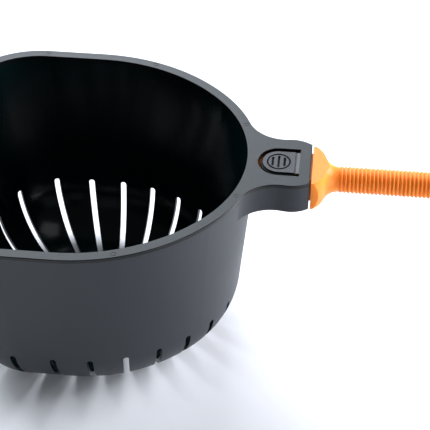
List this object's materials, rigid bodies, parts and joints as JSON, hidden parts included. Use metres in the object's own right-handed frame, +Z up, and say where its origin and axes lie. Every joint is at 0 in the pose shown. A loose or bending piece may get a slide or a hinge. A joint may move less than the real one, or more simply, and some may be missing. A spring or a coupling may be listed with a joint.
{
  "type": "beach sand scoop",
  "caption": "Hand-held slotted sand scoop with a deep moulded basket, a rear socket with a press tab, and a plug-in ribbed handle.",
  "frame": {"origin": "centre of the slot pattern on the basket's flat underside", "axes": "+X along the handle, +Z up through the open top, Y across; symmetric about Y = 0, apart from the slots, which are turned by 1.8 degrees and tilted by 1.1 degrees"},
  "size_m": [0.372, 0.1652, 0.111],
  "materials": {
    "basket_plastic": "dark grey moulded plastic, fine texture outside, smoother rim and inside",
    "tab_plastic": "dark grey moulded plastic, smooth",
    "handle_plastic": "bright orange moulded plastic, satin"
  },
  "bodies": {
    "scoop": {"basket": "basket_plastic"},
    "tab": {"release_tab": "tab_plastic"},
    "grip": {"handle": "handle_plastic"}
  },
  "joints": [
    {"name": "tab_press", "type": "hinge", "parent": "scoop", "child": "tab", "pos_m": [0.097, 0, 0.1101], "axis": [0, -1, 0], "range_deg": [0, 4], "stiffness_Nm_per_rad": 1},
    {"name": "handle_slide", "type": "slide", "parent": "scoop", "child": "grip", "axis": [1, 0, 0], "range_m": [0, 0.045]}
  ]
}
